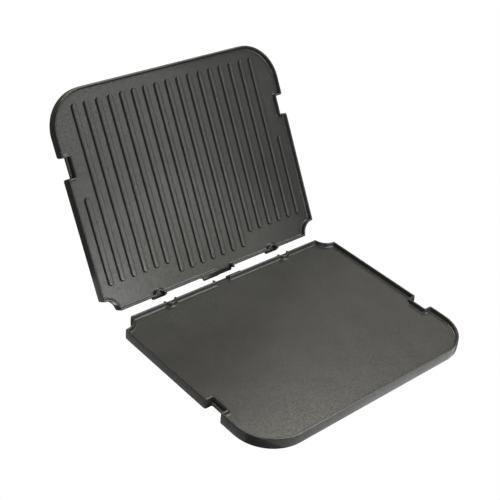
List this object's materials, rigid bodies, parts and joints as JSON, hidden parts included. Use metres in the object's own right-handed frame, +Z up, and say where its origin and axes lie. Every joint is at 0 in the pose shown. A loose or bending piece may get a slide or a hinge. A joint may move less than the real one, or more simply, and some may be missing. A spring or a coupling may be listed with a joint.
{
  "type": "panini_press_plates",
  "caption": "Pair of removable non-stick cooking plates of a panini press, opened like the press: griddle face below, ribbed grill face above",
  "frame": {"origin": "middle of the lower plate's front rim, on the plane the plate rests on", "axes": "+Z up; +Y from the front edge towards the hinge; +X along the front edge, to the right as seen from the front"},
  "size_m": [0.3, 0.3794, 0.2149],
  "materials": {
    "nonstick_casting": "satin"
  },
  "bodies": {
    "base": {"lower_plate": "nonstick_casting"},
    "lid": {"upper_plate": "nonstick_casting"}
  },
  "joints": [
    {"name": "lid_hinge", "type": "hinge", "parent": "base", "child": "lid", "pos_m": [0, 0.2418, 0.0066], "axis": [1, 0, 0], "range_deg": [0, 119.4]}
  ]
}
